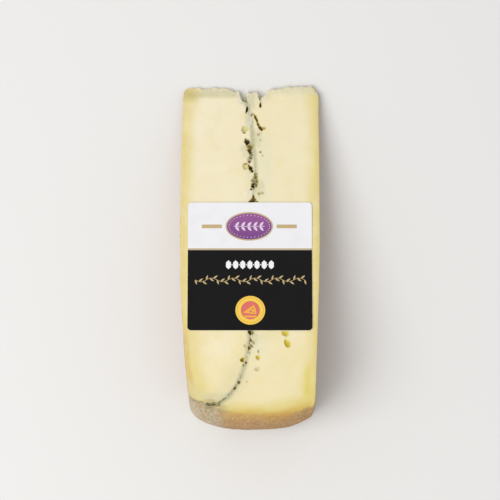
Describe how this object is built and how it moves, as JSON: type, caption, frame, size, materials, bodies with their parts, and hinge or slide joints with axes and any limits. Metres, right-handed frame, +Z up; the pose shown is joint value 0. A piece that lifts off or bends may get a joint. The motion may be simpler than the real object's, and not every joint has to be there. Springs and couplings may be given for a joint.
{
  "type": "morbier cheese wedge",
  "caption": "Thin wedge of pale semi-hard cheese with a dark ash layer, washed rind on heel and sides, ragged tip and a square paper label on its upper cut face.",
  "frame": {"origin": "centre of the bottom of the slice's bounding box, on the bottom cut face", "axes": "+Z up, away from the cut face that the slice rests on; +Y from the thick heel to the thin tip; +X across the wheel's height, from one flat side to the other"},
  "size_m": [0.0666, 0.1666, 0.0488],
  "materials": {
    "curd": "pale ivory cheese paste, satin and slightly translucent, with a beige and pinkish-brown washed rind on the heel and the flat sides",
    "ash": "dark grey vegetable ash, matte and grainy",
    "label": "smooth coated paper, white above and black below, satin"
  },
  "bodies": {
    "root": {"curd_left": "curd", "curd_right": "curd", "ash_layer": "ash", "label": "label"}
  },
  "joints": []
}
